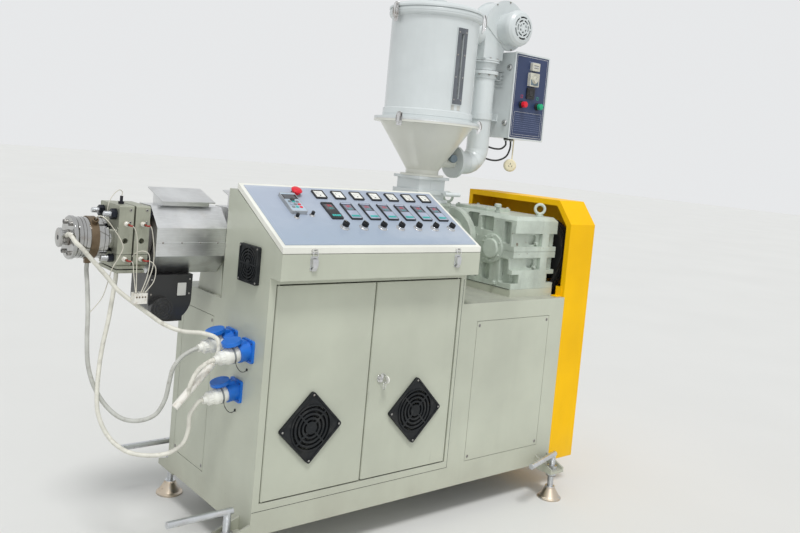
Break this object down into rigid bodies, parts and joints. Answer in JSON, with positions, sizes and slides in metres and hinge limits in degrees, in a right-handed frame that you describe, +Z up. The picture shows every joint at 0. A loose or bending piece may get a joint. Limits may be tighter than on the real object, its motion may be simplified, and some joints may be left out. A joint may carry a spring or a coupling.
{
  "type": "plastic extruder",
  "caption": "Single-screw plastic extruder on a closed base with sloping control console, heated barrel, cast gearbox, belt guard and hopper dryer.",
  "frame": {"origin": "floor level, under the middle of the machine's overall box in plan", "axes": "+X along the machine from the die to the belt guard, +Y from the cabinet doors to the rear, +Z up"},
  "size_m": [2.142, 0.8675, 2.0981],
  "materials": {
    "beige": "semi-gloss grey-cream enamel",
    "black": "matt black",
    "blackmetal": "black paint",
    "blued": "dark heat-stained steel",
    "blueplastic": "semi-gloss blue",
    "brass": "dull brass",
    "cast": "grey-green painted casting",
    "ceramic": "white porcelain",
    "chrome": "bright chrome",
    "cordblack": "black cable sheath",
    "cordwhite": "white cable sheath",
    "cream": "semi-gloss cream enamel",
    "fascia": "satin pale blue fascia film",
    "galvanised": "galvanised sheet",
    "glass": "clear sight glass",
    "instrument": "matt black housings with pale faces",
    "knob": "matt black with bright rings",
    "plate": "grey-green paint worn to steel",
    "redplastic": "gloss red",
    "rubber": "black rubber",
    "steel": "brushed stainless sheet",
    "white": "gloss white enamel",
    "whiteplastic": "semi-gloss white",
    "yellow": "semi-gloss yellow enamel",
    "zinc": "yellow zinc plate"
  },
  "bodies": {
    "frame": {"base_frame": "beige", "base_panels": "beige", "foot_brackets": "beige", "levelling_jacks": "zinc", "cabinet_body": "beige", "mounting_plate": "galvanised", "end_grille": "black", "lid_latches": "galvanised", "power_sockets": "blueplastic", "power_plugs": "whiteplastic", "barrel": "blued", "heat_shields": "steel", "barrel_supports": "beige", "cooling_blower": "blackmetal", "heater_blocks": "plate", "heater_terminals": "ceramic", "die_head": "chrome", "die_band": "brass", "clamp_bolts": "blued", "feed_throat": "cast", "gearbox_housing": "cast", "gearbox_covers": "cast", "drive_pulleys": "blackmetal", "drive_belts": "rubber", "belt_guard": "yellow", "dryer_body": "white", "sight_glass": "glass", "dryer_lid": "white", "dryer_cone": "white", "dryer_gate": "white", "dryer_clamps": "chrome", "dryer_blower": "white", "air_duct": "white", "control_box": "white", "dryer_controls": "instrument", "die_cable": "cordwhite", "plug_cable_a": "cordwhite", "plug_cable_b": "cordwhite", "plug_cable_c": "cordwhite", "dryer_cable_outer": "cordblack", "dryer_cable_inner": "cordblack", "cable_joints": "ceramic", "hanging_socket": "whiteplastic"},
    "left_door": {"left_door": "beige", "left_door_grille": "black"},
    "right_door": {"right_door": "beige", "right_door_grille": "black", "door_lock": "chrome"},
    "console_lid": {"console_lid": "cream", "fascia_panel": "fascia", "panel_instruments": "instrument", "selector_knobs": "knob", "stop_button": "redplastic"}
  },
  "joints": [
    {"name": "left_door_hinge", "type": "hinge", "parent": "frame", "child": "left_door", "pos_m": [-0.512, -0.30116, 0.588], "axis": [0, 0, -1], "range_deg": [0, 110]},
    {"name": "right_door_hinge", "type": "hinge", "parent": "frame", "child": "right_door", "pos_m": [0.274, -0.30116, 0.588], "axis": [0, 0, 1], "range_deg": [0, 110]},
    {"name": "console_lid_hinge", "type": "hinge", "parent": "frame", "child": "console_lid", "pos_m": [-0.119, -0.04216, 1.232], "axis": [-1, 0, 0], "range_deg": [0, 45]}
  ]
}
